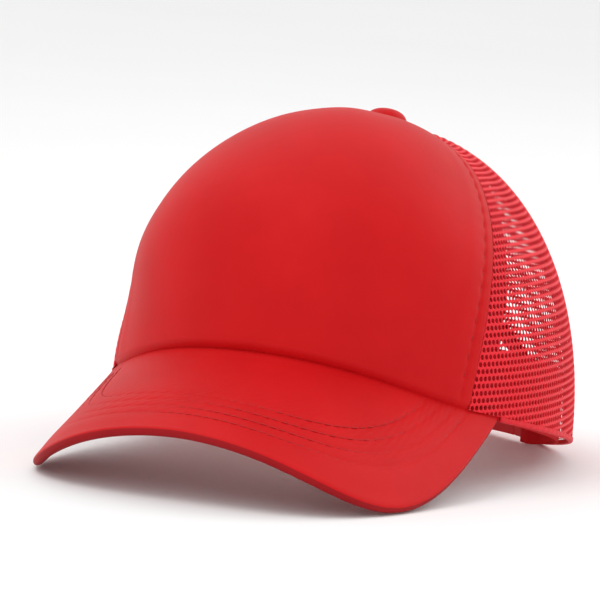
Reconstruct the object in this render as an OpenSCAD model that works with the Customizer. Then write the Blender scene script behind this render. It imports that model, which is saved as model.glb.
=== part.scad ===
// Trucker mesh cap with a foam front, four mesh panels, a curved brim and a snap closure.
// Front of the cap towards -Y, wearer's left towards +X, up +Z, millimetres.
// The origin is the centre of the head opening, on the plane that the cap stands on.

/* [Crown] */
// Half width of the head opening
half_width = 82.5; // [76:0.5:88]
// Centre of the head opening to the forehead
front_reach = 88; // [82:0.5:94]
// Centre of the head opening to the back of the head
back_reach = 91.5; // [86:0.5:98]
// Height of the crown's apex above the standing plane
crown_height = 118; // [108:0.5:128]
// How far the button sits behind the centre
apex_back = 20; // [10:0.5:24]
// How far the foam front stands up ahead of the button
foam_hump = 8.4; // [0:0.2:10]

/* [Brim] */
// Reach of the brim ahead of the forehead
brim_reach = 57; // [48:0.5:64]
// Height of the brim seam at the forehead
brim_seam_height = 45.6; // [38:0.2:50]
// Downward slope of the brim
brim_slope = 20.3; // [14:0.1:24]
// Radius that the brim is bent to
brim_bend = 99.5; // [96:0.5:130]
// Angle round the crown, from the front, where the brim ends
brim_end_angle = 66; // [60:0.5:70]
// Squareness of the brim's corners
brim_squareness = 2.9; // [2.2:0.1:3.4]
// Thickness of the stiffening board inside the brim
board_thick = 1.8; // [1:0.1:2.4]

/* [Cloth] */
// Thickness of the knitted cover and lining cloths
cloth_thick = 0.8; // [0.5:0.1:1]
// Thickness of the foam behind the front cover
foam_thick = 2.6; // [1.5:0.1:3.2]
// Thickness of the open mesh
mesh_thick = 1; // [0.6:0.1:1.3]
// Height of the sweatband
sweatband_height = 27; // [20:1:34]
// Width of the tapes over the seams
tape_width = 11; // [8:0.5:14]

/* [Closure] */
// Width of the half-moon opening at the back
arch_width = 92; // [76:1:104]
// Height of the half-moon opening at the back
arch_height = 46; // [38:1:56]
// Height of the snap strap
strap_height = 19; // [15:0.5:22]
// Thickness of the snap strap
strap_thick = 1.3; // [1:0.1:1.6]
// Distance between snap holes
snap_pitch = 9; // [8:0.5:10]
// Radius of a snap hole
hole_radius = 2.4; // [2.3:0.05:2.6]
// Radius of a snap stud
stud_radius = 1.8; // [1.5:0.05:1.9]
// Number of holes in the outer strap
hole_count = 7; // [5:1:7]
// Number of studs on the inner strap
stud_count = 2; // [1:1:2]

/* [Hidden] */

cloth_red = "#d8252c";
dark_red = "#a81a20";
board_white = "#e8e6e0";
metal_grey = "#b9bbbd";

front_squareness = 2.05;
back_squareness = 2;
brow_fullness = 3.87;
side_fullness = 2.26;
nape_fullness = 1.72;
side_belly = 0.004;
front_foot_flare = 0.0225;
back_foot_flare = -0.016;
hump_place = 0.364;
hump_power = ln(0.5) / ln(hump_place);
flat_from = back_reach * 0.755;
brim_bend_gain = 0.127;
brim_droop = 9.7;
droop_reach = 80;
panel_seam = [55.2, 15.2, 28.1];
side_seam_angle = 122;
panel_top = 0.975;
hem_top = 0.03;
tape_top = 0.9;
seam_gap = 0.15;
layer_gap = 0.1;
binding_width = 6;
binding_thick = 2.4;
tiny = 0.002;
brim_tip = 3;
seam_offset = 0.4;
button_radius = 7.5;
button_height = 4.5;
button_lift = 1.4;
button_tilt = 14;
shank_radius = 1.2;
shank_drop = 6;
washer_radius = 3.5;
strap_bend = 70.5;
strap_centre = 14.2;
strap_low = 1.5;
snap_gap = 0.3;
hinge_angle = 32;
rib_width = 1.2;
rib_rise = 0.4;
stud_proud = 0.1;
tab_gap = 0.8;
tab_sweep = 6.5;

// ---- Shape of the crown ----

function mix(a, b, w) = a * (1 - w) + b * w;
function clamp01(v) = min(1, max(0, v));

// Point on the head opening's oval at an angle from the front, before any flare
function oval(a) = let (
    ahead = cos(a) > 0,
    p = ahead ? front_squareness : back_squareness,
    reach = ahead ? front_reach : back_reach,
    g = pow(pow(abs(sin(a)), p) + pow(abs(cos(a)), p), -1 / p)
) [half_width * sin(a) * g, -reach * cos(a) * g];

// Share of the wall's flare at its foot
function foot_flare(a) = let (w = 1 / (1 + exp(-8 * cos(a))))
    mix(back_foot_flare, front_foot_flare, w);
function foot(a) = oval(a) * (1 + foot_flare(a));

// Height of the brim's top surface over a point
function brim_height(x, y) = let (
    ahead = -y - front_reach,
    r = brim_bend + brim_bend_gain * ahead,
    u = min(abs(x), 0.98 * r)
) brim_seam_height - tan(brim_slope) * ahead - (r - sqrt(r * r - u * u))
    - brim_droop * pow(u / droop_reach, 4) * min(2, max(0, (-y - 40) / 50));

brim_end = foot(brim_end_angle);
brim_end_height = brim_height(brim_end[0], brim_end[1]);

// Height of the crown's lower edge: the brim seam ahead, a straight slope behind it, level at the back
function rim_height(a) = let (p = foot(a))
    abs(a) < brim_end_angle ? brim_height(p[0], p[1]) :
    brim_end_height * clamp01((flat_from - p[1]) / (flat_from - brim_end[1]));

// Fullness of the crown's profile at an angle
function fullness(a) = let (wf = pow(max(cos(a), 0), 2), wb = pow(max(-cos(a), 0), 2))
    brow_fullness * wf + nape_fullness * wb + side_fullness * (1 - wf - wb);

// Point on the crown's outer surface: a is the angle from the front, t runs from 0 at the
// lower edge to 1 at the apex
function crown_at(a, t) = let (
    c = cos(a),
    k = fullness(a),
    ca = max(0, cos(90 * t)),
    sa = sin(90 * t),
    g = pow(pow(ca, k) + pow(sa, k), -1 / k),
    rho = ca * g,
    zeta = sa * g,
    low = rim_height(a),
    swell = foam_hump * pow(max(c, 0), 1.2) * pow(sin(180 * pow(rho, hump_power)), 2) * zeta,
    wide = 1 + side_belly * sin(180 * t) * (1 - pow(max(c, 0), 2)) + pow(1 - zeta, 3) * foot_flare(a),
    o = oval(a) * rho * wide
) [o[0], o[1] + apex_back * (1 - rho), low + (crown_height - low) * zeta + swell];

// Unit direction into the head; level at the wall's foot, so that lower edges stay flat
function inward(a, t) = let (
    s = min(t, 0.97),
    da = crown_at(a + 0.4, s) - crown_at(a - 0.4, s),
    dt = crown_at(a, s + tiny) - crown_at(a, max(0, s - tiny)),
    n = cross(dt, da),
    m = [n[0], n[1], n[2] * min(1, t / 0.2)]
) m / norm(m);
function layer(a, t, d) = crown_at(a, t) + inward(a, t) * d;

// Angle of the seam between the foam front and the side mesh
seam_angle = function (t) panel_seam[0] + panel_seam[1] * t + panel_seam[2] * t * t;

// ---- Solids ----

// Closed solid between two equal grids of points, given as lists of rows
module shell(outer, inner) {
    rows = len(outer);
    cols = len(outer[0]);
    n = rows * cols;
    points = concat([for (r = outer) each r], [for (r = inner) each r]);
    function id(s, r, c) = s * n + r * cols + c;
    faces = concat(
        [for (r = [0:rows - 2], c = [0:cols - 2]) each [
            [id(0, r, c), id(0, r + 1, c), id(0, r + 1, c + 1)],
            [id(0, r, c), id(0, r + 1, c + 1), id(0, r, c + 1)],
            [id(1, r, c), id(1, r + 1, c + 1), id(1, r + 1, c)],
            [id(1, r, c), id(1, r, c + 1), id(1, r + 1, c + 1)]]],
        [for (c = [0:cols - 2]) each [
            [id(0, 0, c), id(0, 0, c + 1), id(1, 0, c + 1)],
            [id(0, 0, c), id(1, 0, c + 1), id(1, 0, c)],
            [id(0, rows - 1, c), id(1, rows - 1, c), id(1, rows - 1, c + 1)],
            [id(0, rows - 1, c), id(1, rows - 1, c + 1), id(0, rows - 1, c + 1)]]],
        [for (r = [0:rows - 2]) each [
            [id(0, r, 0), id(1, r, 0), id(1, r + 1, 0)],
            [id(0, r, 0), id(1, r + 1, 0), id(0, r + 1, 0)],
            [id(0, r, cols - 1), id(0, r + 1, cols - 1), id(1, r + 1, cols - 1)],
            [id(0, r, cols - 1), id(1, r + 1, cols - 1), id(1, r, cols - 1)]]]);
    polyhedron(points, faces, convexity = 6);
}

// Evenly spaced values from low to high
function steps(low, high, count) = [for (i = [0:count]) mix(low, high, i / count)];

// Panel of the crown between two seams, each given as an angle for every height
module panel(from, to, low, high, across, up, depth, thick) {
    rows = [for (t = steps(low, high, up)) [for (i = [0:across])
        [mix(from(t), to(t), i / across), t]]];
    shell(
        [for (r = rows) [for (p = r) layer(p[0], p[1], depth)]],
        [for (r = rows) [for (p = r) layer(p[0], p[1], depth + thick)]]);
}

// ---- Back opening ----

// Angle at the back where the crown's foot is a given distance from the middle
function back_angle(x) = let (u = abs(x) / half_width)
    180 - atan2(u, pow(1 - pow(u, back_squareness), 1 / back_squareness));
// Position up the wall at a given height
function wall_t(a, z) = let (
    k = fullness(a),
    zeta = clamp01((z - rim_height(a)) / (crown_height - rim_height(a)))
) atan2(zeta, pow(1 - pow(zeta, k), 1 / k)) / 90;
// Point on the arch: s is 0 at the middle of the opening's top and 90 at its foot
function arch_at(s, grow) = let (
    a = back_angle((arch_width / 2 + grow) * sin(s)),
    t = wall_t(a, (arch_height + grow) * cos(s))
) [a, t];
arch_foot = arch_at(90, binding_width)[0];

// ---- Crown pieces ----

// Side of the cap: 1 is the wearer's left, -1 the right
module one_side(side) mirror([side > 0 ? 0 : 1, 0, 0]) children();

module front_cover() color(cloth_red)
    panel(function (t) -seam_angle(t), seam_angle, 0, panel_top, 28, 20, 0, cloth_thick);

module front_foam() color(board_white)
    panel(function (t) -seam_angle(t), seam_angle, 0, panel_top, 28, 20,
        cloth_thick + layer_gap, foam_thick);

module side_mesh(side) color(cloth_red) one_side(side)
    panel(function (t) seam_angle(t) + seam_gap, function (t) side_seam_angle,
        hem_top, panel_top, 12, 16, 0, mesh_thick);

// Angles across a back panel: even steps to the arch, then round the arch
back_columns = concat(
    [for (i = [0:4]) mix(side_seam_angle + seam_gap, arch_foot, i / 4)],
    [for (i = [1:9]) arch_at(90 - 10 * i, binding_width)[0]]);
function back_low(a) = let (x = abs(foot(a)[0]) / (arch_width / 2 + binding_width))
    x >= 1 ? hem_top :
    max(hem_top, wall_t(a, (arch_height + binding_width) * sqrt(1 - x * x)) + tiny);

module back_mesh(side) color(cloth_red) one_side(side) {
    rows = [for (i = [0:14]) [for (a = back_columns)
        [min(a, 180 - seam_gap), mix(back_low(a), panel_top, i / 14)]]];
    shell(
        [for (r = rows) [for (p = r) layer(p[0], p[1], 0)]],
        [for (r = rows) [for (p = r) layer(p[0], p[1], mesh_thick)]]);
}

// Tape inside a seam, narrower towards the apex so that the tapes meet without crossing
tape_depth = cloth_thick + layer_gap + foam_thick + 0.4;
mesh_tape_depth = mesh_thick + 0.4;
module tape(along, low, depth) {
    function half(t) = min(14, tape_width / 2 / (half_width * max(0.1, cos(90 * t))) * 180 / PI);
    panel(function (t) along(t) - half(t), function (t) along(t) + half(t),
        low, tape_top, 2, 18, depth, cloth_thick);
}
module front_seam_tape(side) color(dark_red) one_side(side)
    tape(seam_angle, hem_top, tape_depth);
module side_seam_tape(side) color(dark_red) one_side(side)
    tape(function (t) side_seam_angle, hem_top, mesh_tape_depth);
module back_seam_tape() color(dark_red)
    tape(function (t) 180, arch_at(0, binding_width)[1] + hem_top, mesh_tape_depth);

module arch_binding() color(cloth_red) {
    path = [for (s = [-90:7.5:90]) [sign(s), abs(s)]];
    edge = function (grow, d) [for (p = path) let (q = arch_at(p[1], grow))
        layer(p[0] < 0 ? 360 - q[0] : q[0], q[1], d)];
    shell([edge(binding_width, 0), edge(0, 0)],
        [edge(binding_width, binding_thick), edge(0, binding_thick)]);
}

module hem_binding(side) color(cloth_red) one_side(side)
    panel(function (t) panel_seam[0] + seam_gap, function (t) arch_foot - seam_gap,
        0, hem_top - tiny, 18, 1, 0, binding_thick);

// The sweatband lies deeper over the forehead pad than it does at the back
pad_thick = 1.5;
pad_depth = tape_depth + cloth_thick + 0.4;
sweatband_end = 142;
function above_rim(a, h) = wall_t(a, rim_height(a) + h);
function band_depth(a) = pad_depth + (pad_thick + 0.3) * pow(clamp01((cos(a) + 0.4) / 0.9), 0.6);
module sweatband() color(dark_red) {
    rows = [for (h = steps(0, sweatband_height, 3)) [for (i = [-30:30])
        let (a = i / 30 * sweatband_end) [a, above_rim(a, h)]]];
    shell(
        [for (r = rows) [for (p = r) layer(p[0], p[1], band_depth(p[0]))]],
        [for (r = rows) [for (p = r) layer(p[0], p[1], band_depth(p[0]) + cloth_thick)]]);
}
module forehead_pad() color(board_white) {
    rows = [for (h = steps(3, sweatband_height - 3, 3)) [for (i = [-12:12])
        let (a = i / 12 * 50) [a, above_rim(a, h)]]];
    shell(
        [for (r = rows) [for (p = r) layer(p[0], p[1], pad_depth)]],
        [for (r = rows) [for (p = r) layer(p[0], p[1], pad_depth + pad_thick)]]);
}

// ---- Brim ----

// Point of the brim: om runs round the outline from the left end at 0 to the right end at 180,
// u from 0 at the seam to 1 at the outline grown by a margin, and d is the depth below the top
brim_half = brim_bend * asin(brim_end[0] / brim_bend) * PI / 180;
brim_run = brim_reach + front_reach + brim_end[1];
function signed_pow(v, e) = sign(v) * pow(abs(v), e);
function brim_plan(om, u, margin) = let (
    e = 2 / brim_squareness,
    w = signed_pow(cos(om), e),
    s = (brim_half + margin) * w,
    v = (brim_run + margin) * pow(sin(om), e),
    y = brim_end[1] - v,
    r = brim_bend + brim_bend_gain * (-y - front_reach),
    edge = [r * sin(s / r * 180 / PI), y],
    a = brim_end_angle * (90 - om) / (90 - brim_tip),
    inner = foot(a) * (1 + seam_offset / norm(foot(a)))
) mix(inner, edge, u);
function brim_point(om, u, margin, d) = let (
    p = brim_plan(om, u, margin),
    h = brim_height(p[0], p[1]),
    zx = (brim_height(p[0] + 0.5, p[1]) - brim_height(p[0] - 0.5, p[1])),
    zy = (brim_height(p[0], p[1] + 0.5) - brim_height(p[0], p[1] - 0.5)),
    n = [-zx, -zy, 1] / norm([-zx, -zy, 1])
) [p[0], p[1], h] - n * d;

// One layer of the brim between two depths
module brim_layer(from, to, margin, along) {
    angles = [for (i = [0:44]) mix(brim_tip, 180 - brim_tip, i / 44)];
    function grid(d) = [for (i = [0:along])
        [for (om = angles) brim_point(om, i / along, margin, d)]];
    shell(grid(from), grid(to));
}
module brim_top_cover() color(cloth_red)
    brim_layer(0, cloth_thick, 0, 7);
module brim_board() color(board_white)
    brim_layer(cloth_thick + layer_gap, cloth_thick + layer_gap + board_thick, -1, 5);
module brim_bottom_cover() color(cloth_red)
    brim_layer(cloth_thick + 2 * layer_gap + board_thick,
        2 * cloth_thick + 2 * layer_gap + board_thick, 0, 7);

// ---- Button ----

// Places the button's pieces over the apex, tilted back over the foam hump
module on_apex() translate([0, apex_back, crown_height + button_lift])
    rotate([-button_tilt, 0, 0]) children();

// Dome with a hollow under it, between two outer radii
module dome(outer, inner, high, low) {
    function arc(r, h) = [for (q = [0:9:90]) [r * cos(q), h * sin(q)]];
    rotate_extrude($fn = 64)
        polygon(concat(arc(outer, high), [for (i = [10:-1:0]) arc(inner, low)[i]]));
}
module button_cover() color(cloth_red) on_apex()
    dome(button_radius, button_radius - cloth_thick, button_height, button_height - cloth_thick);
module button_core() color(metal_grey) on_apex()
    dome(button_radius - cloth_thick - layer_gap, button_radius - cloth_thick - 0.7,
        button_height - cloth_thick - layer_gap, button_height - cloth_thick - 0.7);
shank_top = button_height - cloth_thick - 0.7 - layer_gap;
module button_shank() color(metal_grey) on_apex() {
    translate([0, 0, -shank_drop])
        cylinder(r = shank_radius, h = shank_drop + shank_top - 0.1, $fn = 32);
    translate([0, 0, -shank_drop])
        cylinder(r = washer_radius, h = 0.6, $fn = 48);
}

// ---- Snap closure ----

// The two straps lie on arcs about one vertical line, with a running gap between them
outer_mid = strap_bend + (strap_thick + snap_gap) / 2;
inner_mid = strap_bend - (strap_thick + snap_gap) / 2;
snap_step = snap_pitch / strap_bend * 180 / PI;
hole_angles = [for (i = [0:hole_count - 1]) (hole_count / 2 - 1 - i) * snap_step];
stud_angles = [for (i = [0:stud_count - 1]) (i - (stud_count - 1) / 2) * snap_step];
strap_round = asin(strap_height / 2 / strap_bend);

// Places a piece at an angle round the straps' arc; positive is the wearer's left
module at_strap(angle) translate([0, strap_centre, strap_low]) rotate([0, 0, -angle]) children();

// Bent strip of plastic from one angle to another about the straps' line
module strap_arc(mid, from, to) at_strap(to)
    rotate([0, 0, 90]) rotate_extrude(angle = to - from, $fn = 180)
        translate([mid - strap_thick / 2, 0]) square([strap_thick, strap_height]);

// Raised rib along the outer strap's outer face, at a height
module strap_rib(from, to, z) at_strap(to)
    rotate([0, 0, 90]) rotate_extrude(angle = to - from, $fn = 180)
        translate([outer_mid, z]) square([strap_thick / 2 + rib_rise, rib_width]);

// Waste round the free end of a strap: side is 1 for an end towards the wearer's left
module strap_end_waste(centre, side) at_strap(centre) difference() {
    translate([side > 0 ? 0 : -strap_height, strap_bend - 10, -1])
        cube([strap_height, 20, strap_height + 2]);
    translate([0, strap_bend - 12, strap_height / 2]) rotate([-90, 0, 0])
        cylinder(r = strap_height / 2 + 0.3, h = 24, $fn = 64);
}

// Round edge that a strap turns on
module strap_knuckle(mid, angle) at_strap(angle) translate([0, mid, 0.3])
    cylinder(r = strap_thick / 2 - 0.05, h = strap_height - 0.6, $fn = 32);

module strap_with_holes() color(cloth_red) difference() {
    union() {
        strap_knuckle(outer_mid, -hinge_angle);
        strap_arc(outer_mid, -hinge_angle, hole_angles[0] + strap_round);
        for (z = [0.8, strap_height - 0.8 - rib_width])
            strap_rib(-hinge_angle + 1, hole_angles[0], z);
    }
    strap_end_waste(hole_angles[0], 1);
    for (a = hole_angles)
        at_strap(a) translate([0, outer_mid - 3, strap_height / 2]) rotate([-90, 0, 0])
            cylinder(r = hole_radius, h = 6, $fn = 32);
}

stud_reach = strap_thick / 2 + snap_gap + strap_thick + stud_proud;
module strap_with_studs() color(cloth_red) {
    difference() {
        union() {
            strap_knuckle(inner_mid, hinge_angle);
            strap_arc(inner_mid, stud_angles[0] - strap_round, hinge_angle);
        }
        strap_end_waste(stud_angles[0], -1);
    }
    for (a = stud_angles)
        translate([inner_mid * sin(a), strap_centre + inner_mid * cos(a),
            strap_low + strap_height / 2])
            rotate([-90, 0, 0])
            cylinder(r = stud_radius, h = stud_reach, $fn = 32);
}

// Sewn ends of the straps, between the binding and the sweatband
module strap_tab(side) color(cloth_red)
    if (side > 0)
        strap_arc(inner_mid, hinge_angle + tab_gap, hinge_angle + tab_gap + tab_sweep);
    else
        strap_arc(outer_mid, -hinge_angle - tab_gap - tab_sweep, -hinge_angle - tab_gap);

front_cover();
front_foam();
side_mesh(1);  // side_mesh_left
side_mesh(-1);  // side_mesh_right
back_mesh(1);  // back_mesh_left
back_mesh(-1);  // back_mesh_right
front_seam_tape(1);  // front_seam_tape_left
front_seam_tape(-1);  // front_seam_tape_right
side_seam_tape(1);  // side_seam_tape_left
side_seam_tape(-1);  // side_seam_tape_right
back_seam_tape();
arch_binding();
hem_binding(1);  // hem_binding_left
hem_binding(-1);  // hem_binding_right
sweatband();
forehead_pad();
brim_board();
brim_top_cover();
brim_bottom_cover();
button_cover();
button_core();
button_shank();
strap_tab(1);  // strap_tab_left
strap_tab(-1);  // strap_tab_right
strap_with_holes();
strap_with_studs();
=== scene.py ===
"""Looks of the trucker mesh cap: cloth, foam, open mesh, bindings and stitches over the CAD frame.

Shapes are worked out in millimetres from the same curves as part.scad, in the same frame, and
become metres only when a mesh is made. a is an angle round the crown from the front, t runs from
0 at the crown's lower edge to 1 at its apex, and d is a depth below the outer surface.
"""

import math

import bmesh
import bpy
import numpy as np
from mathutils import Matrix, Vector


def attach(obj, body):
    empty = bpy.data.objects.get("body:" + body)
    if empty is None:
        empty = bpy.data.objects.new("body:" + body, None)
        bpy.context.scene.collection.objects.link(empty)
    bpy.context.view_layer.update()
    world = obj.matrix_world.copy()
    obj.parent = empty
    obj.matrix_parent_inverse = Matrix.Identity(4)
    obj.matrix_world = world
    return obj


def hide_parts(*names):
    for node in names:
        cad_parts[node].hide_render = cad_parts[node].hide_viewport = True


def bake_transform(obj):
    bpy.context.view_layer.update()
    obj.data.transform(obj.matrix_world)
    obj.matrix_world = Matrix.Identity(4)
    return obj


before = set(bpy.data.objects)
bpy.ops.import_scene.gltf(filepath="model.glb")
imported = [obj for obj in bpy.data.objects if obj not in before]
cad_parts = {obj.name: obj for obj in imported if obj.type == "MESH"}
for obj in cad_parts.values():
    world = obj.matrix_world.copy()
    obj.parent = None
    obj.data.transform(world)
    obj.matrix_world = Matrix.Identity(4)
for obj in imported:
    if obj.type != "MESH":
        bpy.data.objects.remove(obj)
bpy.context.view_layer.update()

# ---- The crown's and brim's curves, as in part.scad ----

# Crown
HALF_WIDTH, FRONT_REACH, BACK_REACH = 82.5, 88, 91.5
CROWN_HEIGHT, APEX_BACK, FOAM_HUMP = 118, 20, 8.4
FRONT_SQUARENESS, BACK_SQUARENESS = 2.05, 2.0
FRONT_FLARE, BACK_FLARE, FLARE_CHANGE = 0.0225, -0.016, 8
FRONT_FULLNESS, SIDE_FULLNESS, BACK_FULLNESS = 3.87, 2.26, 1.72
SIDE_SWELL, HUMP_POWER = 0.004, math.log(0.5) / math.log(0.364)
FLAT_FROM = BACK_REACH * 0.755
SIDE_SEAM = 122
# Shares of the wall's height at which pieces start or stop
PANEL_TOP, TAPE_TOP, HEM_TOP, HEM_LOW = 0.975, 0.9, 0.03, 0.012
# Brim
BRIM_REACH, BRIM_SEAM_HEIGHT, BRIM_SLOPE = 57, 45.6, 20.3
BRIM_BEND, BEND_GAIN = 99.5, 0.127
BRIM_END_ANGLE, BRIM_SQUARENESS, BOARD_THICK = 66, 2.9, 1.8
END_DROOP, DROOP_SPAN, DROOP_FROM, DROOP_RUN = 9.7, 80, 40, 50
# Bindings, bands and tapes
CLOTH_THICK, SWEATBAND_HEIGHT, TAPE_WIDTH = 0.8, 27, 11
ARCH_WIDTH, ARCH_HEIGHT, BINDING_WIDTH = 92, 46, 6
TAPE_DEPTH, MESH_TAPE_DEPTH, TAPE_THICK = 3.9, 1.4, 0.7
PAD_THICK, PAD_DEPTH = 1.5, 5.1
# Button
BUTTON_LIFT, BUTTON_TILT, BUTTON_RADIUS, BUTTON_HEIGHT = 1.4, 14, 7.5, 4.5
# Snap strap
STRAP_BEND, STRAP_CENTRE, STRAP_LOW, STRAP_HEIGHT = 70.5, 14.2, 1.5, 19
STRAP_THICK, SNAP_GAP, HINGE_ANGLE, TAB_GAP = 1.3, 0.3, 32, 0.8


def sind(a):
    return np.sin(np.radians(a))


def cosd(a):
    return np.cos(np.radians(a))


def mix(a, b, w):
    return a * (1 - w) + b * w


def clamp01(v):
    return np.clip(v, 0, 1)


def bell(v, spread):
    return np.exp(-((v / spread) ** 2))


def unit(v):
    return v / np.maximum(np.linalg.norm(v, axis=-1, keepdims=True), 1e-12)


def along(points):
    """Length along the first axis of rows of points, from 0."""
    steps = np.linalg.norm(np.diff(points, axis=0), axis=-1)
    return np.concatenate([np.zeros_like(steps[:1]), np.cumsum(steps, axis=0)])


def oval(a):
    """The head opening before any flare."""
    s, c = sind(a), cosd(a)
    p = np.where(c > 0, FRONT_SQUARENESS, BACK_SQUARENESS)
    reach = np.where(c > 0, FRONT_REACH, BACK_REACH)
    g = (abs(s) ** p + abs(c) ** p) ** (-1 / p)
    return np.stack([HALF_WIDTH * s * g, -reach * c * g], -1)


def foot_flare(a):
    return mix(BACK_FLARE, FRONT_FLARE, 1 / (1 + np.exp(-FLARE_CHANGE * cosd(a))))


def foot(a):
    return oval(a) * (1 + foot_flare(a))[..., None]


def brim_height(x, y):
    """Height of the brim's top surface over a plan point."""
    ahead = -y - FRONT_REACH
    r = BRIM_BEND + BEND_GAIN * ahead
    u = np.minimum(abs(x), 0.98 * r)
    curl = r - np.sqrt(r * r - u * u)
    droop = END_DROOP * (u / DROOP_SPAN) ** 4 * np.clip((-y - DROOP_FROM) / DROOP_RUN, 0, 2)
    return BRIM_SEAM_HEIGHT - math.tan(math.radians(BRIM_SLOPE)) * ahead - curl - droop


BRIM_END = foot(np.array(float(BRIM_END_ANGLE)))
BRIM_END_HEIGHT = float(brim_height(BRIM_END[0], BRIM_END[1]))


def rim_height(a):
    """Height of the crown's lower edge."""
    p = foot(a)
    sweep = clamp01((FLAT_FROM - p[..., 1]) / (FLAT_FROM - BRIM_END[1]))
    ahead = brim_height(p[..., 0], p[..., 1])
    return np.where(abs(a) < BRIM_END_ANGLE, ahead, BRIM_END_HEIGHT * sweep)


def fullness(a):
    """Power of the wall's profile: the higher, the squarer its shoulder."""
    front, back = np.maximum(cosd(a), 0) ** 2, np.maximum(-cosd(a), 0) ** 2
    return FRONT_FULLNESS * front + BACK_FULLNESS * back + SIDE_FULLNESS * (1 - front - back)


def crown(a, t):
    """Point on the crown's outer surface."""
    a, t = np.broadcast_arrays(np.asarray(a, float), np.asarray(t, float))
    c, k = np.maximum(cosd(a), 0), fullness(a)
    ca, sa = np.maximum(cosd(90 * t), 0), sind(90 * t)
    g = (ca**k + sa**k) ** (-1 / k)
    rho, zeta, low = ca * g, sa * g, rim_height(a)
    swell = FOAM_HUMP * c**1.2 * sind(180 * rho**HUMP_POWER) ** 2 * zeta
    wide = 1 + SIDE_SWELL * sind(180 * t) * (1 - c**2) + (1 - zeta) ** 3 * foot_flare(a)
    o = oval(a) * (rho * wide)[..., None]
    z = low + (CROWN_HEIGHT - low) * zeta + swell
    return np.stack([o[..., 0], o[..., 1] + APEX_BACK * (1 - rho), z], -1)


def inward(a, t):
    """Unit normal of the crown into the cap, level at the foot of the wall."""
    s = np.minimum(t, 0.97)
    da = crown(a + 0.4, s) - crown(a - 0.4, s)
    dt = crown(a, s + 0.002) - crown(a, np.maximum(0, s - 0.002))
    n = np.cross(dt, da)
    n[..., 2] *= np.minimum(1, np.asarray(t) / 0.2)
    return unit(n)


def layer(a, t, d):
    """Point at a depth below the crown's outer surface."""
    a, t = np.broadcast_arrays(np.asarray(a, float), np.asarray(t, float))
    return crown(a, t) + inward(a, t) * np.asarray(d, float)[..., None]


def per_degree(a, t):
    """Millimetres round the crown for each degree."""
    return np.linalg.norm(crown(a + 0.2, t) - crown(a - 0.2, t), axis=-1) / 0.4


def seam(t):
    """Angle of the seam between the foam front and the mesh."""
    return 55.2 + 15.2 * t + 28.1 * t * t


def wall_t(a, z):
    """Where the wall reaches a height."""
    k, low = fullness(a), rim_height(a)
    zeta = clamp01((z - low) / (CROWN_HEIGHT - low))
    return np.degrees(np.arctan2(zeta, (1 - zeta**k) ** (1 / k))) / 90


def above_rim(a, h):
    return wall_t(a, rim_height(a) + h)


def back_angle(x):
    """Angle at which the back of the crown is x to the side."""
    u = np.minimum(abs(x) / HALF_WIDTH, 1)
    return 180 - np.degrees(np.arctan2(u, np.sqrt(1 - u * u)))


def arch_at(s, grow):
    """Place on the arch's outline grown by a margin: s runs from -90 at one foot to 90 at the other."""
    a = back_angle((ARCH_WIDTH / 2 + grow) * sind(s))
    return a, wall_t(a, (ARCH_HEIGHT + grow) * cosd(s))


ARCH_FOOT = float(arch_at(np.array(90.0), BINDING_WIDTH)[0])


def back_low(a):
    """Where the back panels start above the arch."""
    x = abs(foot(a)[..., 0]) / (ARCH_WIDTH / 2 + BINDING_WIDTH - 2)
    over = wall_t(a, (ARCH_HEIGHT + BINDING_WIDTH - 2) * np.sqrt(np.maximum(0, 1 - x * x)))
    return np.maximum(HEM_LOW, np.where(x >= 1, 0, over))


BRIM_HALF = BRIM_BEND * math.asin(BRIM_END[0] / BRIM_BEND)
BRIM_RUN = BRIM_REACH + FRONT_REACH + BRIM_END[1]
BRIM_EDGE = BOARD_THICK / 2 + CLOTH_THICK + 0.1


def signed_pow(v, e):
    return np.sign(v) * abs(v) ** e


def brim_outline(om, margin):
    """Plan point of the brim's outline grown by a margin: om runs from the left end at 0 to 180."""
    e = 2 / BRIM_SQUARENESS
    w = signed_pow(cosd(om), e)
    y = BRIM_END[1] - (BRIM_RUN + margin) * np.maximum(sind(om), 0) ** e
    r = BRIM_BEND + BEND_GAIN * (-y - FRONT_REACH)
    return np.stack([r * np.sin((BRIM_HALF + margin) * w / r), y], -1)


def on_brim(plan, d):
    """Point at a depth below the brim's top surface, under a plan point."""
    x, y = plan[..., 0], plan[..., 1]
    zx = brim_height(x + 0.5, y) - brim_height(x - 0.5, y)
    zy = brim_height(x, y + 0.5) - brim_height(x, y - 0.5)
    n = unit(np.stack([-zx, -zy, np.ones_like(x)], -1))
    top = np.concatenate([plan, brim_height(x, y)[..., None]], -1)
    return top - n * np.asarray(d, float)[..., None]


def brim_inset(plan):
    """How far a plan point lies inside the brim's outline."""
    y = plan[..., 1]
    r = BRIM_BEND + BEND_GAIN * (-y - FRONT_REACH)
    s = abs(r * np.arcsin(np.clip(plan[..., 0] / r, -1, 1)))
    v = np.maximum(BRIM_END[1] - y, 0)
    low, high = np.zeros_like(s), np.full_like(s, 75.0)
    for _ in range(24):
        m = (low + high) / 2
        across, ahead = s / (BRIM_HALF - m), v / (BRIM_RUN - m)
        out = across**BRIM_SQUARENESS + ahead**BRIM_SQUARENESS > 1
        high, low = np.where(out, m, high), np.where(out, low, m)
    return (low + high) / 2


# ---- Making pieces ----

SAG_DEPTH, SAG_HEIGHT, SAG_SPREAD, SAG_REACH = 2.2, 54, 16, 62


def sag(points):
    """The soft wall sags inward a little on the wearer's right, between hem and crown."""
    across = clamp01(-points[:, 0] / SAG_REACH) ** 2
    points[:, 0] += SAG_DEPTH * across * bell(points[:, 2] - SAG_HEIGHT, SAG_SPREAD)
    return points


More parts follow.
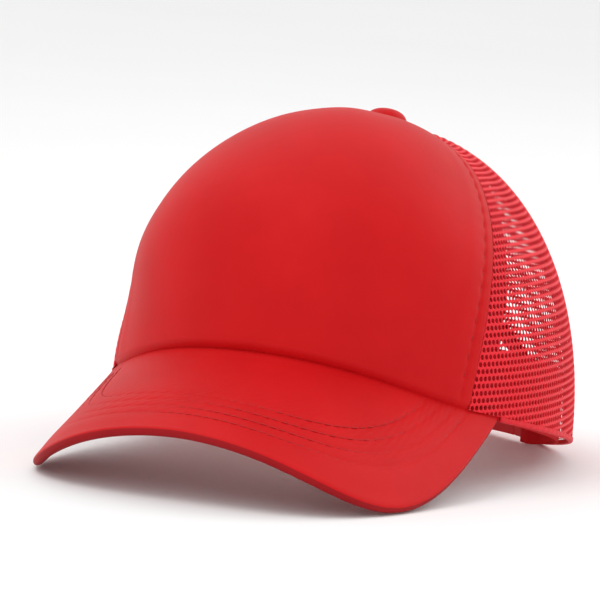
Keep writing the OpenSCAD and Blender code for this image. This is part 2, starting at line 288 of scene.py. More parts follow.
def add_piece(name, points, faces, material, slot, body="cap", replaces=()):
    """A closed mesh from points in millimetres, riding on a CAD body unless body is None."""
    name = name.replace(" ", "_")
    points = sag(np.asarray(points, float))
    mesh = bpy.data.meshes.new(name)
    mesh.from_pydata((points * 0.001).tolist(), [], [tuple(f) for f in faces])
    bm = bmesh.new()
    bm.from_mesh(mesh)
    bmesh.ops.remove_doubles(bm, verts=bm.verts, dist=2e-6)
    bmesh.ops.dissolve_degenerate(bm, edges=bm.edges, dist=1e-6)
    bmesh.ops.recalc_face_normals(bm, faces=bm.faces)
    bm.to_mesh(mesh)
    bm.free()
    mesh.polygons.foreach_set("use_smooth", [True] * len(mesh.polygons))
    obj = bpy.data.objects.new(name, mesh)
    bpy.context.scene.collection.objects.link(obj)
    mesh.materials.append(material)
    if body:
        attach(obj, body)
    if replaces:
        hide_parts(*replaces)
    return obj


def grid_faces(rows, cols, base=0, wrap=False):
    """Quads of a grid of points, closed round its columns with wrap."""
    r, c = np.meshgrid(np.arange(rows - 1), np.arange(cols if wrap else cols - 1), indexing="ij")
    c2 = (c + 1) % cols
    quads = np.stack([r * cols + c, r * cols + c2, (r + 1) * cols + c2, (r + 1) * cols + c], -1)
    return quads.reshape(-1, 4) + base


def shell(outer, inner):
    """Points and faces of the closed solid between two equal grids."""
    rows, cols = outer.shape[:2]
    n = rows * cols
    ids = np.arange(n).reshape(rows, cols)
    rim = np.concatenate([ids[0, :-1], ids[:-1, -1], ids[-1, :0:-1], ids[:0:-1, 0]])
    after = np.roll(rim, -1)
    faces = [grid_faces(rows, cols), grid_faces(rows, cols, n)[:, ::-1]]
    faces.append(np.stack([rim, rim + n, after + n, after], -1))
    return np.concatenate([outer.reshape(-1, 3), inner.reshape(-1, 3)]), np.concatenate(faces)


def flip_x(points):
    return points * np.array([-1, 1, 1])


def sized_sheet(obj, surface):
    """Works out a sheet's developed size: its surface's longest row and column, and its area; nothing is
    done with them.
    """
    across = np.linalg.norm(np.diff(surface, axis=1), axis=-1).sum(1).max()
    up = np.linalg.norm(np.diff(surface, axis=0), axis=-1).sum(0).max()
    p, q = surface[1:, 1:] - surface[:-1, :-1], surface[1:, :-1] - surface[:-1, 1:]
    area = np.linalg.norm(np.cross(p, q), axis=-1).sum() / 2
    flat = (max(across, 10) * 0.001, max(up, 10) * 0.001)
    area = min(max(area * 1e-6, 0.3 * flat[0] * flat[1]), flat[0] * flat[1])


def sweep(name, section, material, slot, replaces):
    """A solid swept from folded section loops, closed at both ends."""
    count, ring = section.shape[:2]
    faces = [f for f in grid_faces(count, ring, wrap=True)]
    i = np.arange(ring // 2 - 1)
    for first in (0, (count - 1) * ring):
        faces += [f for f in np.stack([i, i + 1, ring - 2 - i, ring - 1 - i], -1) + first]
    return add_piece(name, section.reshape(-1, 3), faces, material, slot, replaces=replaces)


THREAD_RING, THREAD_SPAN, THREAD_RADIUS, THREAD_LIFT = 5, 5, 0.2, 0.08


def stitches(lines, pitch, length):
    """Points and faces of a row of thread stitches along each line of points and outward normals."""
    points, faces, base = [], [], 0
    x = np.linspace(0, 1, THREAD_SPAN)
    fat = np.sin(np.pi * (0.12 + 0.76 * x)) ** 0.5
    turn = np.arange(THREAD_RING) * 2 * np.pi / THREAD_RING
    for line, normal in lines:
        run = along(line)
        starts = np.arange(pitch * 0.3, run[-1] - length, pitch)
        if not len(starts):
            continue
        s = starts[:, None] + x * length
        p = np.stack([np.interp(s, run, line[:, i]) for i in range(3)], -1)
        n = unit(np.stack([np.interp(s, run, normal[:, i]) for i in range(3)], -1))
        tangent = unit(np.gradient(p, axis=1))
        side = unit(np.cross(tangent, n))
        p = p + n * (THREAD_LIFT * np.sin(np.pi * x) - THREAD_RADIUS / 2)[None, :, None]
        ring = np.cos(turn)[:, None] * side[:, :, None, :] + np.sin(turn)[:, None] * n[:, :, None, :]
        ring = p[:, :, None, :] + ring * (THREAD_RADIUS * fat)[None, :, None, None]
        for stitch in ring:
            points.append(stitch.reshape(-1, 3))
            faces += [tuple(f) for f in grid_faces(THREAD_SPAN, THREAD_RING, base, wrap=True)]
            faces.append(tuple(base + np.arange(THREAD_RING)))
            faces.append(tuple(base + (THREAD_SPAN - 1) * THREAD_RING + np.arange(THREAD_RING)))
            base += THREAD_SPAN * THREAD_RING
    return np.concatenate(points), faces


def add_stitches(name, lines, pitch=3.2, length=2.4):
    points, faces = stitches(lines, pitch, length)
    add_piece(name, points, faces, MATERIALS["thread"], "tape")


def crown_line(a, t, d):
    """A line on the crown at a depth, with its outward directions."""
    a, t = np.broadcast_arrays(np.asarray(a, float), np.asarray(t, float))
    return layer(a, t, d), -inward(a, t)


def mirrored(lines):
    return lines + [(flip_x(p), flip_x(n)) for p, n in lines]


# ---- Materials ----


class Nodes:
    """A short way to write node materials."""

    def __init__(self, name):
        self.material = bpy.data.materials.new(name)
        self.material.use_nodes = True
        self.tree = self.material.node_tree
        self.shader = self.tree.nodes["Principled BSDF"]
        self.coords = self.add("ShaderNodeTexCoord")

    def add(self, kind, **values):
        node = self.tree.nodes.new(kind)
        for key, value in values.items():
            socket = node.inputs.get(key.replace("_", " "))
            if socket is not None:
                socket.default_value = value
            else:
                setattr(node, key, value)
        return node

    def link(self, out, into):
        self.tree.links.new(out, into)

    def texture(self, kind, scale, **values):
        node = self.add(kind, Scale=scale, **values)
        self.link(self.coords.outputs["Object"], node.inputs["Vector"])
        return node

    def bump(self, height, strength, distance, under=None):
        node = self.add("ShaderNodeBump", Strength=strength, Distance=distance)
        self.link(height, node.inputs["Height"])
        if under is not None:
            self.link(under, node.inputs["Normal"])
        self.link(node.outputs["Normal"], self.shader.inputs["Normal"])
        return node.outputs["Normal"]

    def ramp(self, factor, low, high, start=0.3, end=0.7):
        node = self.add("ShaderNodeValToRGB")
        node.color_ramp.elements[0].position, node.color_ramp.elements[1].position = start, end
        node.color_ramp.elements[0].color = (*low, 1)
        node.color_ramp.elements[1].color = (*high, 1)
        self.link(factor, node.inputs["Fac"])
        return node.outputs["Color"]

    def setup(self, **sockets):
        for key, value in sockets.items():
            self.shader.inputs[key.replace("_", " ")].default_value = value


def cloth_material(name, low, high, rough, weave, depth, sheen=0.15, tint=None):
    """Cloth with a fine crossed weave, a slow change of tone, and a soft sheen."""
    m = Nodes(name)
    tone = m.texture("ShaderNodeTexNoise", 35, Detail=3.0)
    m.link(m.ramp(tone.outputs["Fac"], low, high), m.shader.inputs["Base Color"])
    warp = m.texture("ShaderNodeTexWave", weave, bands_direction="Z", Distortion=0.6, Detail=1.0)
    weft = m.texture("ShaderNodeTexWave", weave, bands_direction="X", Distortion=0.6, Detail=1.0)
    both = m.add("ShaderNodeMath", operation="ADD")
    m.link(warp.outputs["Fac"], both.inputs[0])
    m.link(weft.outputs["Fac"], both.inputs[1])
    fuzz = m.texture("ShaderNodeTexNoise", 2500, Detail=2.0)
    first = m.bump(both.outputs[0], 0.35, depth)
    m.bump(fuzz.outputs["Fac"], 0.2, depth, first)
    m.setup(Roughness=rough, Sheen_Weight=sheen, Sheen_Roughness=0.4)
    m.setup(Sheen_Tint=(*(tint or high), 1), Specular_IOR_Level=0.12)
    return m.material


def plain_material(name, low, high, rough, grain, depth, scale=60, metallic=0.0):
    """A plain material with a slow change of tone and a fine grain."""
    m = Nodes(name)
    tone = m.texture("ShaderNodeTexNoise", scale, Detail=4.0)
    m.link(m.ramp(tone.outputs["Fac"], low, high), m.shader.inputs["Base Color"])
    fine = m.texture("ShaderNodeTexNoise", grain, Detail=3.0)
    m.bump(fine.outputs["Fac"], 0.4, depth)
    uneven = m.add("ShaderNodeMapRange", To_Min=rough - 0.06, To_Max=rough + 0.06)
    m.link(fine.outputs["Fac"], uneven.inputs["Value"])
    m.link(uneven.outputs["Result"], m.shader.inputs["Roughness"])
    m.setup(Metallic=metallic)
    return m.material


def foam_material():
    """Open-cell foam."""
    m = Nodes("foam")
    cells = m.texture("ShaderNodeTexVoronoi", 1100)
    tone = m.ramp(cells.outputs["Distance"], (0.62, 0.59, 0.54), (0.8, 0.78, 0.74), 0.05, 0.5)
    m.link(tone, m.shader.inputs["Base Color"])
    m.bump(cells.outputs["Distance"], 0.5, 0.0004)
    m.setup(Roughness=0.9, Subsurface_Weight=0.1, Subsurface_Scale=0.002)
    return m.material


MATERIALS = {
    "cover": cloth_material(
        "cover knit", (0.53, 0.004, 0.006), (0.59, 0.006, 0.008), 0.5, 1250, 0.00008, 0.06, (1, 0.3, 0.28)
    ),
    # painted shade: the brim's under cloth is the cover's red made darker, standing in for the shade on
    # the brim's underside and edge band
    "under": cloth_material(
        "brim under cloth in painted shade", (0.28, 0.004, 0.007), (0.33, 0.006, 0.009), 0.55, 1250, 0.00008, 0.1
    ),
    "mesh": cloth_material(
        "mesh yarn", (0.78, 0.016, 0.028), (0.88, 0.026, 0.040), 0.5, 1800, 0.0001, 0.12, (1, 0.5, 0.5)
    ),
    "binding": cloth_material(
        "binding", (0.66, 0.018, 0.028), (0.74, 0.024, 0.036), 0.5, 1100, 0.0001, 0.3
    ),
    "tape": cloth_material(
        "seam tape", (0.46, 0.008, 0.014), (0.54, 0.012, 0.018), 0.65, 900, 0.00015, 0.2
    ),
    "band": cloth_material(
        "sweatband twill", (0.62, 0.008, 0.014), (0.72, 0.012, 0.018), 0.7, 1000, 0.00015
    ),
    "thread": plain_material("thread", (0.42, 0.004, 0.006), (0.50, 0.006, 0.008), 0.6, 4000, 0.00005),
    "foam": foam_material(),
    "board": plain_material("brim board", (0.78, 0.76, 0.70), (0.85, 0.83, 0.78), 0.45, 900, 0.00006),
    "metal": plain_material(
        "stamped shell", (0.62, 0.62, 0.64), (0.72, 0.72, 0.74), 0.32, 1500, 0.00002, metallic=1.0
    ),
    "plastic": plain_material(
        "snap plastic", (0.72, 0.010, 0.018), (0.80, 0.014, 0.024), 0.38, 1400, 0.00003
    ),
}

# ---- Front panel: knitted cover over foam ----

PUCKER_PITCH, WELT = 6.5, 5.4
TUCK_DEPTH, TUCK_HEIGHT = 3.0, 4.5


def front_grid(rows, cols, low=0.0):
    """Angles and positions over the front panel, closer together near its seams."""
    x = np.linspace(-1, 1, cols)
    w = mix(x, np.sin(np.pi / 2 * x), 0.34)
    t = np.linspace(low, PANEL_TOP, rows)[:, None] + 0 * w
    return seam(t) * w, t


def front_relief(a, t):
    """Depth of the cover's own shape: seam welts with puckers, and the turned-in lower edge."""
    gap = (seam(t) - abs(a)) * per_degree(a, t)
    run = along(crown(seam(t[:, 0]), t[:, 0]))[:, None]
    up = along(crown(a, t))
    pucker = np.cos(2 * np.pi * run / PUCKER_PITCH)
    fade = clamp01(up / 8)
    groove = bell(gap - WELT, 0.8) * (0.5 + 0.14 * pucker)
    pull = 0.1 * pucker * bell(gap - WELT, 2.6)
    edge = clamp01(1 - gap / 2) ** 2
    puff = -0.25 * bell(gap - WELT - 5.5, 4)
    tuck = TUCK_DEPTH * clamp01(1 - up / TUCK_HEIGHT) ** 2
    uneven = 0.14 * np.sin(a / 9 + 2.2 * np.sin(7 * t)) * clamp01(up / 15) * clamp01((gap - 8) / 10)
    return (groove + pull + puff) * fade + edge + tuck + uneven


COVER_THICK, FOAM_TOP, FOAM_DEPTH, FOAM_RELIEF = 0.7, 0.85, 3.45, 1.2
a, t = front_grid(156, 231)
relief = front_relief(a, t)
outer = layer(a, t, relief)
cover = add_piece(
    "front cover cloth",
    *shell(outer, layer(a, t, relief + COVER_THICK)),
    MATERIALS["cover"],
    "cover_cloth",
    replaces=["front_cover"],
)
sized_sheet(cover, outer)

a, t = front_grid(90, 120, low=0.03)
gap = (seam(t) - abs(a)) * per_degree(a, t)
squeeze = 0.7 * clamp01(1 - gap / 6) ** 2
press = 0.12 * np.sin(a / 4) * np.sin(40 * t)
relief = front_relief(a, t).clip(0, FOAM_RELIEF)
foam = add_piece(
    "front foam pad",
    *shell(layer(a, t, relief + FOAM_TOP), layer(a, t, FOAM_DEPTH - squeeze + press)),
    MATERIALS["foam"],
    "foam",
    replaces=["front_foam"],
)

# ---- Open mesh panels ----

ROW_PITCH, COLUMN_PITCH = 2.54, 1.95
HOLE_HALF_WIDTH, HOLE_HALF_HEIGHT, HOLE_CORNER = 0.41, 0.367, 0.72
NET_DEPTH, NET_THICK = 0.35, 0.18
RIB_RISE, KNOT_RISE = 0.16, 0.08
SIDE_MIDDLE, BACK_MIDDLE = 100, 160


def net_lattice(centre):
    """Looks up (a, z) on a panel for column u and row v: rows keep one height all the way round,
    and are one row pitch apart up the wall at the panel's centre."""
    t = np.linspace(0, 1, 801)
    wall = crown(np.full_like(t, centre), t)
    run = along(wall)
    fine = np.arange(30.0, 180.01, 0.5)

    def place(u, v):
        z = np.interp(v * ROW_PITCH, run, wall[:, 2]) + min(v, 0) * ROW_PITCH
        line = crown(fine, wall_t(fine, z))
        line[:, 2] = z
        run_a = along(line)
        middle = np.interp(centre, fine, run_a)
        a = np.interp(middle + u * COLUMN_PITCH, run_a, fine)
        return np.stack([a, np.full_like(a, z)], -1)

    return place


def net_cells(centre):
    """Every cell's 8 corners and 8 hole corners, as (a, z), for a panel's lattice."""
    ring = [(-0.5, -0.5), (0, -0.5), (0.5, -0.5), (0.5, 0), (0.5, 0.5), (0, 0.5), (-0.5, 0.5), (-0.5, 0)]
    w, h = HOLE_HALF_WIDTH, HOLE_HALF_HEIGHT
    x, y = w * HOLE_CORNER, h * HOLE_CORNER
    hole = [(-x, -y), (0, -h), (x, -y), (w, 0), (x, y), (0, h), (-x, y), (-w, 0)]
    place = net_lattice(centre)
    columns = np.arange(-45, 46)
    cells = []
    for row in range(-14, 66):
        shifted = columns + 0.5 * (row % 2)
        cells.append(np.stack([place(shifted + du, row + dv) for du, dv in ring + hole], 1))
    return np.concatenate(cells)


def outline_edges(points, base):
    """The cells' edges that have no neighbour, where the panel ends."""
    i = np.arange(8)
    start, end = (base + i).ravel(), (base + (i + 1) % 8).ravel()
    middle = np.round((points[start] + points[end]) * 100).astype(np.int64)
    _, first, uses = np.unique(middle, axis=0, return_index=True, return_counts=True)
    rim = first[uses % 2 == 1]
    rim = rim[np.linalg.norm(points[start[rim]] - points[end[rim]], axis=1) > 0.01]
    return start[rim], end[rim]


def net_panel(name, centre, a_low, a_high, t_low, node, mirror):
    """A panel of knitted mesh with a real hole in every cell, clamped to the panel's outline."""
    cells = net_cells(centre)
    a, z = cells[..., 0], cells[..., 1]
    t = wall_t(a, z)
    inside = (a > a_low(t)) & (a < a_high(t)) & (t > t_low(a)) & (t < PANEL_TOP)
    keep = inside.any(1)
    a, z, t = a[keep], z[keep], t[keep]
    for _ in range(3):
        a = np.clip(a, a_low(t), a_high(t))
        t = wall_t(a, z)
    t = np.clip(t, t_low(a), PANEL_TOP)
    a = np.clip(a, a_low(t), a_high(t))
    rise = np.array(([RIB_RISE] * 3 + [KNOT_RISE]) * 2 + [0.1, 0.14, 0.1, 0.02] * 2)
    front = layer(a, t, NET_DEPTH - rise)
    back = layer(a, t, NET_DEPTH + NET_THICK - 0.2 * rise)
    points = np.concatenate([front.reshape(-1, 3), back.reshape(-1, 3)])
    base = (np.arange(len(a)) * 16)[:, None]
    n = len(a) * 16
    faces = []
    for i in range(8):
        j = (i + 1) % 8
        quad = np.array([i, j, 8 + j, 8 + i])
        wall = np.array([8 + i, 8 + j])
        faces.append(base + quad)
        faces.append(base + n + quad[::-1])
        faces.append(np.concatenate([base + wall, base + n + wall[::-1]], 1))
    start, end = outline_edges(points, base)
    faces.append(np.stack([end, start, start + n, end + n], 1))
    if mirror:
        points = flip_x(points)
    obj = add_piece(name, points, np.concatenate(faces), MATERIALS["mesh"], "mesh", replaces=[node])
    w = np.linspace(0, 1, 60)
    t = np.linspace(0, PANEL_TOP, 60)[:, None] + 0 * w
    a = mix(a_low(t), a_high(t), w)
    return obj, crown(a, np.maximum(t, t_low(a)))


def hem_low(a):
    return HEM_LOW + 0 * a


def side_seam(t):
    return SIDE_SEAM + 0 * t


def middle_back(t):
    return 180 + 0 * t


def under_front(t):
    """The mesh starts a little under the front panel's edge."""
    return seam(t) - 0.5


for side, mirror in (("left", False), ("right", True)):
    node = f"side_mesh_{side}"
    obj, surface = net_panel(
        f"side net {side}", SIDE_MIDDLE, under_front, side_seam, hem_low, node, mirror
    )
    sized_sheet(obj, surface)
    node = f"back_mesh_{side}"
    obj, surface = net_panel(
        f"back net {side}", BACK_MIDDLE, side_seam, middle_back, back_low, node, mirror
    )
    sized_sheet(obj, surface)

# ---- Seam allowances and tapes ----


def strip(name, middle, half, low, high, depth, thick, replaces, rows=90, mirror=False):
    """A strip of tape along a seam, with thinner edges."""
    w = np.linspace(-1, 1, 13)
    t = np.linspace(low, high, rows)[:, None] + 0 * w
    a = middle(t) + half(t) * w
    edge = abs(w) ** 6 * thick * 0.35
    wave = 0.05 * np.sin(t * 190 + w)
    outer, inner = layer(a, t, depth + edge + wave), layer(a, t, depth + thick - edge + wave)
    if mirror:
        outer, inner = flip_x(outer), flip_x(inner)
    obj = add_piece(name, *shell(outer, inner), MATERIALS["tape"], "tape", replaces=replaces)
    return obj, outer


def tape_half(t):
    """Half the tape's width in degrees."""
    return np.minimum(14, np.degrees(TAPE_WIDTH / 2 / (HALF_WIDTH * np.maximum(0.1, cosd(90 * t)))))


def allowance(t):
    """Half the width of the mesh's seam allowance, in degrees."""
    return ALLOWANCE_HALF / per_degree(seam(t), t)


def allowance_middle(t):
    return seam(t) + allowance(t)


ALLOWANCE_HALF, ALLOWANCE_DEPTH, ALLOWANCE_THICK, ALLOWANCE_TOP = 4.4, 1.0, 0.5, 0.93
ARCH_TOP = float(arch_at(np.array(0.0), BINDING_WIDTH)[1])
for side, mirror in (("left", False), ("right", True)):
    for name, middle, depth in (
        ("front", seam, TAPE_DEPTH - 0.3),
        ("side", side_seam, MESH_TAPE_DEPTH),
    ):
        node = f"{name}_seam_tape_{side}"
        obj, surface = strip(
            f"{name} tape {side}", middle, tape_half, HEM_TOP, TAPE_TOP,
            depth, TAPE_THICK, [node], mirror=mirror,
        )
        sized_sheet(obj, surface)
    # the mesh's seam allowance, turned back behind the front seam
    obj, surface = strip(
        f"seam allowance {side}", allowance_middle, allowance, HEM_TOP, ALLOWANCE_TOP,
        ALLOWANCE_DEPTH, ALLOWANCE_THICK, [], mirror=mirror,
    )
    sized_sheet(obj, surface)
back_tape, surface = strip(
    "back tape", middle_back, tape_half, ARCH_TOP + HEM_TOP, TAPE_TOP,
    MESH_TAPE_DEPTH, TAPE_THICK, ["back_seam_tape"], rows=60,
)
sized_sheet(back_tape, surface)

# ---- Bindings ----

FOLD_THICK = 0.5
HEM_RADIUS, HEM_FOLD, HEM_START, HEM_STRIP = 0.95, 1.9, 64.2, 0.0048
ARCH_RADIUS, ARCH_STRIP = 1.25, 0.0135


def fold_section(radius, height):
    """A strip folded in half, as (depth, height) round its closed section, with the fold at the bottom."""
    turn = np.linspace(np.pi, 2 * np.pi, 11)
    legs = np.linspace(height, radius, 5)[:-1]
    outer, inner = [], []
    for r, path in ((radius, outer), (radius - FOLD_THICK, inner)):
        path += [(radius - r, y) for y in legs]
        path += [(radius + r * math.cos(q), radius + r * math.sin(q)) for q in turn]
        path += [(radius + r, y) for y in legs[::-1]]
    return np.array(outer + inner[::-1]).T


depth, up = fold_section(HEM_RADIUS, HEM_FOLD)
for side, mirror in (("left", False), ("right", True)):
    a = np.linspace(HEM_START, ARCH_FOOT + 1.2, 170)
    n, p = inward(a, 0 * a), crown(a, 0 * a)
    p[:, 2] = rim_height(a)
    soft = 0.06 * np.sin(a * 2.3)
    loops = p[:, None] + n[:, None] * (depth[None] - 0.12 + soft[:, None])[..., None]
    loops[..., 2] += up + 0.03
    if mirror:
        loops = flip_x(loops)
    hem = sweep(f"rolled hem {side}", loops, MATERIALS["binding"], "binding", [f"hem_binding_{side}"])
    length = along(p)[-1] * 0.001

s = np.linspace(-90, 90, 181)
depth, grow = fold_section(ARCH_RADIUS, BINDING_WIDTH)
q, tq = arch_at(abs(s)[:, None], grow[None, :])
q = np.where(s[:, None] < 0, 360 - q, q)
loops = layer(q, tq, depth[None, :] - 0.1 + 0 * q)
arch = sweep("arch binding cloth", loops, MATERIALS["binding"], "binding", ["arch_binding"])
length = along(loops[:, 0])[-1] * 0.001

# ---- Sweatband and forehead pad ----

BAND_END, BAND_ROLL = 145, 24.2
PAD_END, PAD_MARGIN = 50, 3


def band_depth(a):
    """The sweatband's depth: over the pad in front, and inside the strap tabs at its sewn ends."""
    lap = 2.2 * clamp01((abs(a) - 135) / 6) ** 2
    return PAD_DEPTH + (PAD_THICK + 0.3) * clamp01((cosd(a) + 0.4) / 0.9) ** 0.6 + lap


a = np.linspace(-BAND_END, BAND_END, 400)[None, :] + np.zeros((26, 1))
h = np.linspace(0.2, SWEATBAND_HEIGHT, 26)[:, None] + 0 * a
soft = 0.25 * np.sin(a / 5.5 + 0.15 * h) * (h / SWEATBAND_HEIGHT) + 0.25 * bell(h - BAND_ROLL, 0.7)
outer = layer(a, above_rim(a, h), band_depth(a) + soft * 0.6)
band = add_piece(
    "sweatband cloth",
    *shell(outer, layer(a, above_rim(a, h), band_depth(a) + CLOTH_THICK + soft)),
    MATERIALS["band"],
    "sweatband_cloth",
    replaces=["sweatband"],
)
sized_sheet(band, outer)

a = np.linspace(-PAD_END, PAD_END, 90)[None, :] + np.zeros((22, 1))
h = np.linspace(PAD_MARGIN, SWEATBAND_HEIGHT - PAD_MARGIN, 22)[:, None] + 0 * a
from_middle = abs(h - SWEATBAND_HEIGHT / 2) / (SWEATBAND_HEIGHT / 2 - PAD_MARGIN)
round_off = 0.6 * (abs(a) / PAD_END) ** 10 + 0.6 * from_middle**10
pad = add_piece(
    "forehead pad foam",
    *shell(
        layer(a, above_rim(a, h), PAD_DEPTH + round_off),
        layer(a, above_rim(a, h), PAD_DEPTH + PAD_THICK - round_off),
    ),
    MATERIALS["foam"],
    "foam",
    replaces=["forehead_pad"],
)

# ---- Brim ----

STITCH_INSETS = [11.8 + 4.3 * i for i in range(4)]
BRIM_ROWS, WRAP_ROWS, TUCK_UNDER, END_CLOSING = 96, 9, 3.4, 3
# the under cover, in darker cloth that paints shade, turns up round most of the brim's edge band; the top
# cover wraps only its upper part
BRIM_CLOTH, TOP_WRAP, UNDER_WRAP = 0.72, math.radians(38), math.radians(142)
dense = np.linspace(0, 180, 4001)
outline = brim_outline(dense, -BRIM_EDGE)
outline_run = along(outline)
share = np.linspace(0, 1, 321)
om = np.interp(share * outline_run[-1], outline_run, dense)
inner_a = BRIM_END_ANGLE * (1 - 2 * share)
inner_edge = foot(inner_a)
inner_edge = inner_edge - unit(inner_edge) * TUCK_UNDER
u = np.linspace(0, 1, BRIM_ROWS)[:, None, None]
flat_part = mix(inner_edge[None], brim_outline(om, -BRIM_EDGE)[None], u)
inset = brim_inset(flat_part)
seam_dip = clamp01(1 - np.linalg.norm(flat_part - inner_edge[None], axis=-1) / 6)
grooves = sum(bell(inset - m, 0.75) for m in STITCH_INSETS)
# the two covers close on each other at the brim's ends
from_end = np.minimum(share, 1 - share) * outline_run[-1]
closing = clamp01(1 - from_end / END_CLOSING) ** 2


def brim_relief(top):
    """Depth of a cover's own shape: stitch grooves, ripples between them, and a slow unevenness."""
    run = (share * outline_run[-1])[None]
    ripple = 0.07 * np.sin(run / 3.2 * np.pi + 2 * inset) * bell(inset - 22, 9)
    soft = 0.22 * np.sin(run / 23 + inset / 7) * clamp01(inset / 10) * clamp01(1 - seam_dip * 2)
    crowned = -0.2 * bell(inset - 7.5, 3.2)
    return 0.26 * grooves * clamp01(1 - seam_dip) + (ripple + soft) * (1 if top else 0.6) + crowned


def brim_cover(node, name, top):
    """One of the brim's covers: the under cover turns up round the edge to meet the top one; its darker
    cloth is painted shade on the underside and on most of the edge band.
    """
    depth = brim_relief(top)
    wrap, wrap_rows = (TOP_WRAP, WRAP_ROWS) if top else (UNDER_WRAP, 2 * WRAP_ROWS)
    end_out, end_in = BRIM_EDGE - BRIM_CLOTH / 2, BRIM_EDGE - 0.02

    def level(d):
        return d if top else 2 * BRIM_EDGE - d

    out = [on_brim(flat_part, level(mix(depth, end_out, closing)))]
    inn = [on_brim(flat_part, level(mix(depth + BRIM_CLOTH, end_in, closing)))]
    for phi in np.linspace(0, wrap, wrap_rows)[1:]:
        for rows, r, end in ((out, BRIM_EDGE, end_out), (inn, BRIM_EDGE - BRIM_CLOTH, end_in)):
            plan = brim_outline(om, -BRIM_EDGE + r * math.sin(phi))
            rows.append(on_brim(plan, level(mix(BRIM_EDGE - r * math.cos(phi), end, closing)))[None])
    outer, inner = np.concatenate(out), np.concatenate(inn)
    # painted shade: the under cover takes the darker copy of the cover's red
    material = MATERIALS["cover" if top else "under"]
    obj = add_piece(name, *shell(outer, inner), material, "cover_cloth", replaces=[node])
    sized_sheet(obj, outer)


brim_cover("brim_top_cover", "brim top cloth", True)
brim_cover("brim_bottom_cover", "brim under cloth in painted shade", False)

# the board stops short of where the covers close
kept = slice(4, -4)
u = np.linspace(0, 1, 48)[:, None, None]
board_inner = (inner_edge + unit(inner_edge) * 1.2)[None, kept]
plan = mix(board_inner, brim_outline(om[kept], -BRIM_EDGE - 0.3)[None], u)
faces = [on_brim(plan, BRIM_EDGE + d) for d in (-BOARD_THICK / 2, BOARD_THICK / 2)]
add_piece("stiffening board", *shell(*faces), MATERIALS["board"], "board", replaces=["brim_board"])

GROOVE_DEPTH, SEAM_CLEARANCE = 0.22, 1.5
lines = {True: [], False: []}
for m in STITCH_INSETS:
    plan = brim_outline(np.linspace(0.5, 179.5, 900), -m)
    around = np.degrees(np.arctan2(plan[:, 0], -plan[:, 1]))
    clear = np.linalg.norm(plan, axis=1) > np.linalg.norm(foot(around), axis=1) + SEAM_CLEARANCE
    plan = plan[clear]
    for top in (True, False):
        d = GROOVE_DEPTH if top else 2 * BRIM_EDGE - GROOVE_DEPTH
        p = on_brim(plan, d + 0 * plan[:, 0])
        n = unit(on_brim(plan, -1 + 0 * plan[:, 0]) - on_brim(plan, 0 * plan[:, 0]))
        lines[top].append((p, n if top else -n))
add_stitches("brim top stitches", lines[True], pitch=3.4, length=2.7)
add_stitches("brim under stitches", lines[False], pitch=3.4, length=2.7)

# ---- Other stitch rows ----

t = np.linspace(0.06, 0.95, 400)
welt_a = seam(t) - WELT / per_degree(seam(t), t)
welt = mirrored([crown_line(welt_a, t, 0.5 + 0 * t)])
add_stitches("welt stitches", welt, pitch=PUCKER_PITCH / 2, length=2.5)

SEAM_ROW = 2.4
t = np.linspace(0.05, 0.93, 400)
rows = []
for off in (-SEAM_ROW, SEAM_ROW):
    rows.append(crown_line(SIDE_SEAM + off / per_degree(SIDE_SEAM + 0 * t, t), t, 0.1 + 0 * t))
rows = mirrored(rows)
t = np.linspace(ARCH_TOP + 0.03, 0.93, 300)
for off in (-SEAM_ROW, SEAM_ROW):
    rows.append(crown_line(180 + off / per_degree(180 + 0 * t, t), t, 0.1 + 0 * t))
add_stitches("net seam stitches", rows)

s = np.linspace(-86, 86, 500)
rows = []
for grow in (1.3, 4.7):
    q, tq = arch_at(abs(s), grow)
    rows.append(crown_line(np.where(s < 0, 360 - q, q), tq, 0.12 + 0 * tq))
add_stitches("arch stitches", rows)

a = np.linspace(-140, 140, 700)
t = above_rim(a, BAND_ROLL + 0 * a)
p = layer(a, t, band_depth(a) + CLOTH_THICK + 0.25)
n = inward(a, t)
add_stitches("sweatband stitches", [(p, n)])

# ---- Button ----

q = np.linspace(0, 90, 18)
profile = [(BUTTON_RADIUS * c, BUTTON_HEIGHT * s) for c, s in zip(cosd(q) ** 0.9, sind(q))][:-1]
low_edge = [(5.9, 0.5), (6.5, -0.05), (7.1, -0.25), (7.4, -0.1)]
profile = np.array(low_edge + profile)
turn = np.arange(72) * 2 * np.pi / 72
pleat = 1 + 0.006 * np.cos(8 * turn)
points = np.stack(
    [
        profile[:, 0, None] * np.cos(turn) * pleat,
        profile[:, 0, None] * np.sin(turn) * pleat,
        profile[:, 1, None] + 0 * turn,
    ],
    -1,
)
tip = np.array([[0, 0, BUTTON_HEIGHT]])
tilt = np.array(Matrix.Rotation(math.radians(-BUTTON_TILT), 3, "X"))
points = np.concatenate([points.reshape(-1, 3), tip]) @ tilt.T + [0, APEX_BACK, CROWN_HEIGHT + BUTTON_LIFT]
faces = [tuple(f) for f in grid_faces(len(profile), 72, wrap=True)]
last = (len(profile) - 1) * 72
faces += [(last + i, last + (i + 1) % 72, len(points) - 1) for i in range(72)]
button = add_piece(
    "button cloth", points, faces, MATERIALS["cover"], "cover_cloth", replaces=["button_cover"]
)

# ---- Webs that join the strap halves to their sewn tabs ----

WEB_LAP, WEB_THICK, WEB_MARGIN = 1.6, 0.9, 0.5
TAB_ANGLE = HINGE_ANGLE + TAB_GAP


def strap_point(angle, radius, z):
    """Point on the straps' arc, at an angle from the middle of the back."""
    return np.stack([radius * sind(angle), STRAP_CENTRE + radius * cosd(angle), z], -1)


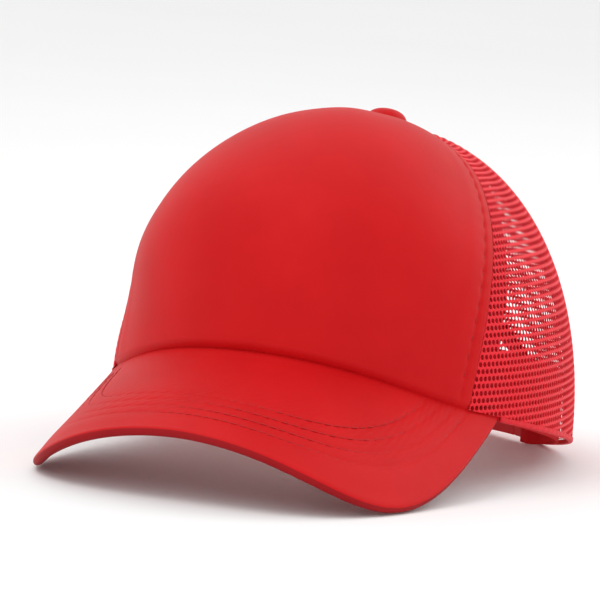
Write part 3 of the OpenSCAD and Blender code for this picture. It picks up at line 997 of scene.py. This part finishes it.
for body, side in (("hole_strap", -1), ("stud_strap", 1)):
    middle = STRAP_BEND - side * (STRAP_THICK + SNAP_GAP) / 2
    q = side * np.linspace(HINGE_ANGLE - WEB_LAP, TAB_ANGLE + WEB_LAP, 45)[None] + np.zeros((14, 1))
    z = STRAP_LOW + np.linspace(WEB_MARGIN, STRAP_HEIGHT - WEB_MARGIN, 14)[:, None] + 0 * q
    sides = [strap_point(q, middle + d, z) for d in (WEB_THICK / 2, -WEB_THICK / 2)]
    web = add_piece(f"{body} web", *shell(*sides), MATERIALS["plastic"], "snap_plastic", body=None)
    ends = side * np.array([TAB_ANGLE, HINGE_ANGLE])
    start, end = strap_point(ends, middle, np.full(2, STRAP_LOW + STRAP_HEIGHT / 2)) * 0.001
    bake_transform(web)

# ---- CAD pieces that stay, with their materials ----

for node, material in {
    "button_core": "metal",
    "button_shank": "metal",
    "strap_tab_left": "plastic",
    "strap_tab_right": "plastic",
    "strap_with_holes": "plastic",
    "strap_with_studs": "plastic",
}.items():
    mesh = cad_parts[node].data
    mesh.materials.clear()
    mesh.materials.append(MATERIALS[material])

# ---- Camera, light and floor ----

AZIMUTH, ELEVATION, ROLL, DISTANCE = 24.3, 7.4, 3.4, 1.8
SHIFT, TARGET_HEIGHT, LENS = -0.0193, 0.0541, 298
az, el, roll = (math.radians(v) for v in (AZIMUTH, ELEVATION, ROLL))
right = Vector((math.cos(az), math.sin(az), 0))
back = Vector((math.sin(az) * math.cos(el), -math.cos(az) * math.cos(el), math.sin(el)))
above = back.cross(right)
x_axis = right * math.cos(roll) + above * math.sin(roll)
y_axis = above * math.cos(roll) - right * math.sin(roll)
camera_data = bpy.data.cameras.new("camera")
camera_data.lens, camera_data.sensor_width = LENS, 36
camera = bpy.data.objects.new("camera", camera_data)
target = Vector((0, 0, TARGET_HEIGHT)) + right * SHIFT
turned = Matrix((x_axis, y_axis, back)).transposed().to_4x4()
camera.matrix_world = Matrix.Translation(target + back * DISTANCE) @ turned
scene = bpy.context.scene
scene.collection.objects.link(camera)
scene.camera = camera


def area_light(name, place, size, power):
    data = bpy.data.lights.new(name, "AREA")
    data.shape, data.size, data.energy = "SQUARE", size, power
    light = bpy.data.objects.new(name, data)
    light.location = place
    light.rotation_euler = (Vector((0, 0, 0.06)) - Vector(place)).to_track_quat("-Z", "Y").to_euler()
    scene.collection.objects.link(light)


area_light("key", (-0.45, -0.6, 1.5), 0.9, 7)
area_light("front fill", (0.7, -1.3, 0.35), 1.0, 1.0)
area_light("rear fill", (0.7, 1.0, 0.8), 0.9, 4)

bpy.ops.mesh.primitive_plane_add(size=6, location=(0, 0, -0.0005))
floor = bpy.context.object
floor.name = "floor"
pale = plain_material("floor", (0.88, 0.88, 0.88), (0.9, 0.9, 0.9), 0.8, 30, 0.0001, 3)
floor.data.materials.append(pale)

world = bpy.data.worlds.new("studio")
scene.world = world
world.use_nodes = True
world.node_tree.nodes["Background"].inputs["Color"].default_value = (1, 1, 1, 1)
world.node_tree.nodes["Background"].inputs["Strength"].default_value = 0.95
scene.view_settings.view_transform = "Standard"
